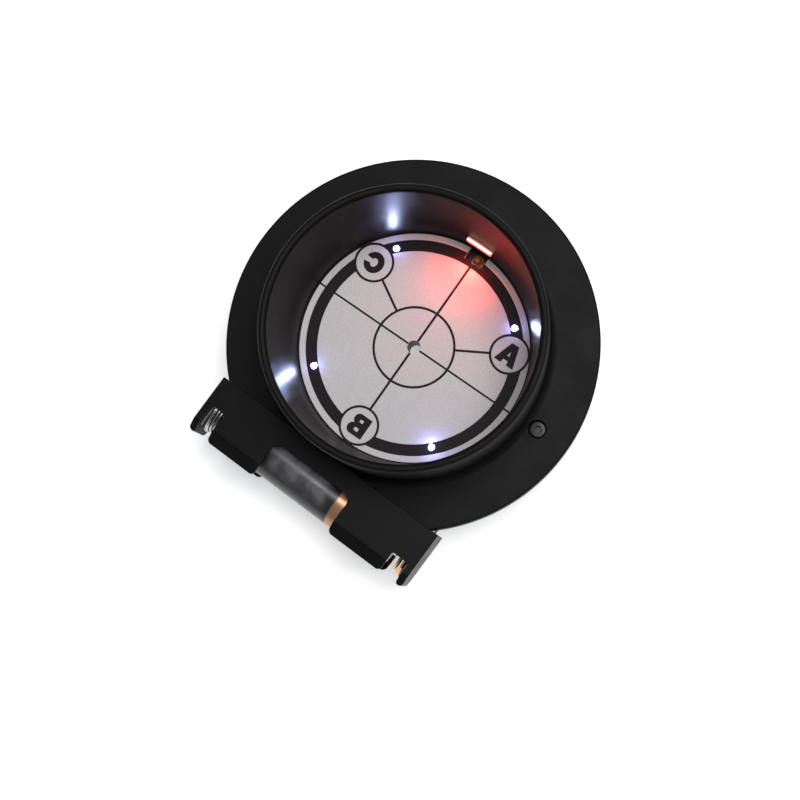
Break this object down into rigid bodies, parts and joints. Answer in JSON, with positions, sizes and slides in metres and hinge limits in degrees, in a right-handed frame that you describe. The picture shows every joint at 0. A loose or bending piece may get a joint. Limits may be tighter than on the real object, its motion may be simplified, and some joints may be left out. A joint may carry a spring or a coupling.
{
  "type": "lit sighting target",
  "caption": "Flanged tube with a lit target plate at its foot, a central peephole and a side holder for one AAA cell.",
  "frame": {"origin": "centre of the box's underside, on the plane of the rear cover's flat rear face", "axes": "+Z out of the tube towards the viewer's mirror or target side, +X along the battery towards its positive end, the battery holder at -Y and the red light at +Y"},
  "size_m": [0.0762, 0.0794, 0.0377],
  "materials": {
    "housing": "matte black, glossier inside the bore",
    "moulding": "satin black moulding",
    "plate": "pale grey-white with dark printed lines",
    "board": "black solder mask",
    "component": "moulded black",
    "white_lens": "clear lens, lit bluish white",
    "red_lens": "clear red lens, lit",
    "plated_steel": "nickel plated",
    "black_steel": "black oxide",
    "copper_wire": "bright copper-coloured wire",
    "cell_film": "shrink film, black with a copper-brown end",
    "red_sleeve": "red wire insulation",
    "black_sleeve": "black wire insulation"
  },
  "bodies": {
    "housing": {"front_housing": "housing", "rear_cover": "housing", "target_plate": "plate", "plate_spacer": "moulding", "led_board": "board", "white_led_1": "white_lens", "white_led_2": "white_lens", "white_led_3": "white_lens", "white_led_4": "white_lens", "red_led": "red_lens", "red_light_bar": "red_lens", "driver_inductor": "component", "driver_capacitor": "plated_steel", "driver_chip": "component", "resistor_1": "component", "resistor_2": "component", "resistor_3": "component", "peep_sleeve": "moulding", "switch_body": "plated_steel", "housing_screw_1": "black_steel", "housing_screw_2": "black_steel", "battery_holder": "moulding", "negative_contact": "plated_steel", "positive_contact": "plated_steel", "negative_spring": "plated_steel", "positive_spring": "copper_wire", "holder_screw_1": "plated_steel", "holder_screw_2": "plated_steel", "negative_lead": "black_sleeve", "positive_lead": "red_sleeve"},
    "battery": {"battery_jacket": "cell_film", "battery_negative_cap": "plated_steel", "battery_positive_cap": "plated_steel"},
    "switch_slider": {"switch_knob": "moulding"}
  },
  "joints": [
    {"name": "battery_lift", "type": "slide", "parent": "housing", "child": "battery", "axis": [-0.0262, -0.9997, 0], "range_m": [0, 0.016]},
    {"name": "switch_slide", "type": "slide", "parent": "housing", "child": "switch_slider", "axis": [1, 0, 0], "range_m": [0, 0.002]}
  ]
}
